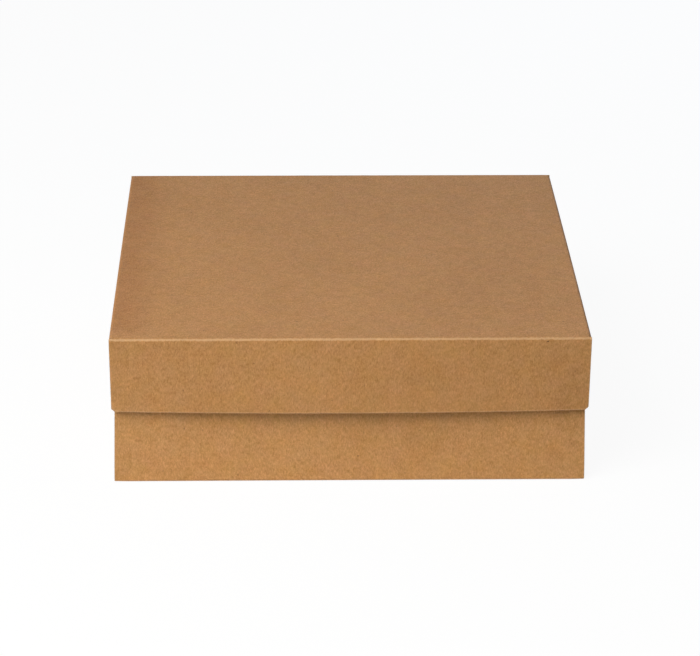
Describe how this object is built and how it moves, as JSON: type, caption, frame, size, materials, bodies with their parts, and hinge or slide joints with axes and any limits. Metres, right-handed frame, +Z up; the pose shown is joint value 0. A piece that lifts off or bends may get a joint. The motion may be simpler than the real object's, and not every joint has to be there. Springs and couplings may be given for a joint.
{
  "type": "dessert box",
  "caption": "Plain kraft board box: a shallow lid slips over the upper part of a base. Both are folded and glued sheets, for cakes and sweets.",
  "frame": {"origin": "under the middle of the base, on the surface that the box stands on", "axes": "+X to the right seen from the front, along the front wall that runs the full width; the front faces -Y; +Z up, the way the lid lifts"},
  "size_m": [0.2442, 0.2456, 0.0794],
  "materials": {
    "lid_board": "matt brown kraft board with fine fibres, paler where it is creased",
    "base_board": "matt brown kraft board with fine fibres, paler where it is creased"
  },
  "bodies": {
    "base": {"base": "base_board"},
    "lid": {"lid": "lid_board"}
  },
  "joints": [
    {"name": "lid_lift", "type": "slide", "parent": "base", "child": "lid", "axis": [0, 0, 1], "range_m": [0, 0.06]}
  ]
}
